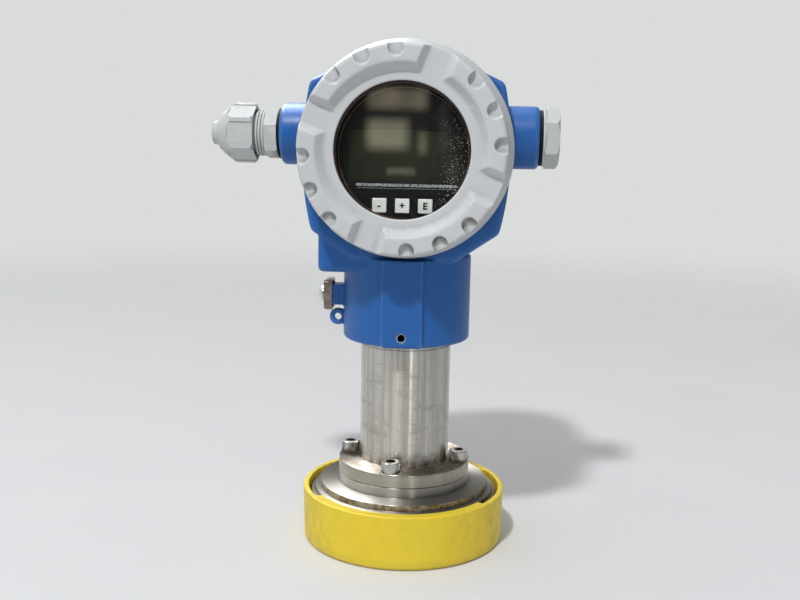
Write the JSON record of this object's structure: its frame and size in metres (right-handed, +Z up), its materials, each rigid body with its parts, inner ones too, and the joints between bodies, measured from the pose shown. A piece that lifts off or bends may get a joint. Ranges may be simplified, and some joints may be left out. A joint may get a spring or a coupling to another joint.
{
  "type": "pressure transmitter",
  "caption": "Pressure transmitter: blue twin-compartment case with display window, cable gland and plug, on a steel neck with a bolted process flange in a yellow cap.",
  "frame": {"origin": "centre of the protective cap's underside, on the neck axis", "axes": "+Z up along the neck, -Y out of the display window, +X towards the blanking plug"},
  "size_m": [0.187, 0.114, 0.2731],
  "materials": {
    "blue_paint": "blue powder coat on die-cast aluminium",
    "grey_paint": "light grey powder coat on die-cast aluminium",
    "stainless": "turned stainless steel",
    "screw_steel": "bright stainless fasteners",
    "yellow_cap": "moulded polyethylene",
    "grey_plastic": "moulded polyamide",
    "black_plastic": "moulded polycarbonate",
    "key_plastic": "moulded key caps",
    "sight_glass": "clear toughened glass",
    "display_glass": "liquid crystal panel, unlit",
    "black_rubber": "moulded rubber",
    "brown_rubber": "fluorocarbon rubber",
    "cell_ceramic": "sintered alumina",
    "board": "glass-epoxy circuit board"
  },
  "bodies": {
    "sensor": {"protective_cap": "yellow_cap", "process_flange": "stainless", "process_diaphragm": "stainless", "measuring_cell": "cell_ceramic", "cell_seal": "brown_rubber", "sensor_board": "board", "neck": "stainless", "neck_seal": "black_rubber", "flange_screws": "screw_steel"},
    "housing": {"housing": "blue_paint", "housing_set_screw": "screw_steel", "ground_clamp": "screw_steel", "ground_screw": "screw_steel", "electronics_module": "black_plastic", "display_module": "black_plastic", "lcd_panel": "display_glass", "terminal_block": "black_plastic", "terminal_screws": "screw_steel", "gland_gasket": "black_rubber", "gland_body": "grey_plastic", "plug_gasket": "black_rubber", "blanking_plug": "grey_plastic"},
    "front_seal": {"front_cover_seal": "black_rubber"},
    "front_cover": {"front_cover": "grey_paint", "glass_seal": "brown_rubber", "sight_glass": "sight_glass", "glass_ring": "screw_steel"},
    "rear_seal": {"rear_cover_seal": "black_rubber"},
    "rear_cover": {"rear_cover": "grey_paint"},
    "key_minus": {"key_minus": "key_plastic"},
    "key_plus": {"key_plus": "key_plastic"},
    "key_enter": {"key_enter": "key_plastic"},
    "gland_bush": {"gland_bush": "black_rubber"},
    "gland_nut": {"gland_nut": "grey_plastic"}
  },
  "joints": [
    {"name": "housing_swivel", "type": "hinge", "parent": "sensor", "child": "housing", "pos_m": [0, 0, 0.127], "axis": [0, 0, 1], "range_deg": [-190, 190]},
    {"name": "front_cover_advance", "type": "slide", "parent": "housing", "child": "front_seal", "axis": [0, -1, 0], "range_m": [0, 0.01]},
    {"name": "front_cover_turn", "type": "hinge", "parent": "front_seal", "child": "front_cover", "pos_m": [0, -0.04, 0.2175], "axis": [0, -1, 0], "range_deg": [0, 1800]},
    {"name": "rear_cover_advance", "type": "slide", "parent": "housing", "child": "rear_seal", "axis": [0, 1, 0], "range_m": [0, 0.01]},
    {"name": "rear_cover_turn", "type": "hinge", "parent": "rear_seal", "child": "rear_cover", "pos_m": [0, 0.04, 0.2175], "axis": [0, 1, 0], "range_deg": [0, 1800]},
    {"name": "gland_bush_advance", "type": "slide", "parent": "housing", "child": "gland_bush", "axis": [-1, 0, 0], "range_m": [-0.003, 0.006]},
    {"name": "gland_nut_turn", "type": "hinge", "parent": "gland_bush", "child": "gland_nut", "pos_m": [-0.09, 0, 0.2245], "axis": [-1, 0, 0], "range_deg": [-720, 1440]},
    {"name": "key_minus_press", "type": "slide", "parent": "housing", "child": "key_minus", "axis": [0, 1, 0], "range_m": [0, 0.0008], "stiffness_N_per_m": 600, "springref_m": -0.001},
    {"name": "key_plus_press", "type": "slide", "parent": "housing", "child": "key_plus", "axis": [0, 1, 0], "range_m": [0, 0.0008], "stiffness_N_per_m": 600, "springref_m": -0.001},
    {"name": "key_enter_press", "type": "slide", "parent": "housing", "child": "key_enter", "axis": [0, 1, 0], "range_m": [0, 0.0008], "stiffness_N_per_m": 600, "springref_m": -0.001}
  ],
  "couplings": [
    {"joint": "front_cover_advance", "follows": "front_cover_turn", "m_per_rad": 0.00031831},
    {"joint": "rear_cover_advance", "follows": "rear_cover_turn", "m_per_rad": 0.00031831},
    {"joint": "gland_bush_advance", "follows": "gland_nut_turn", "m_per_rad": 0.00023873}
  ]
}
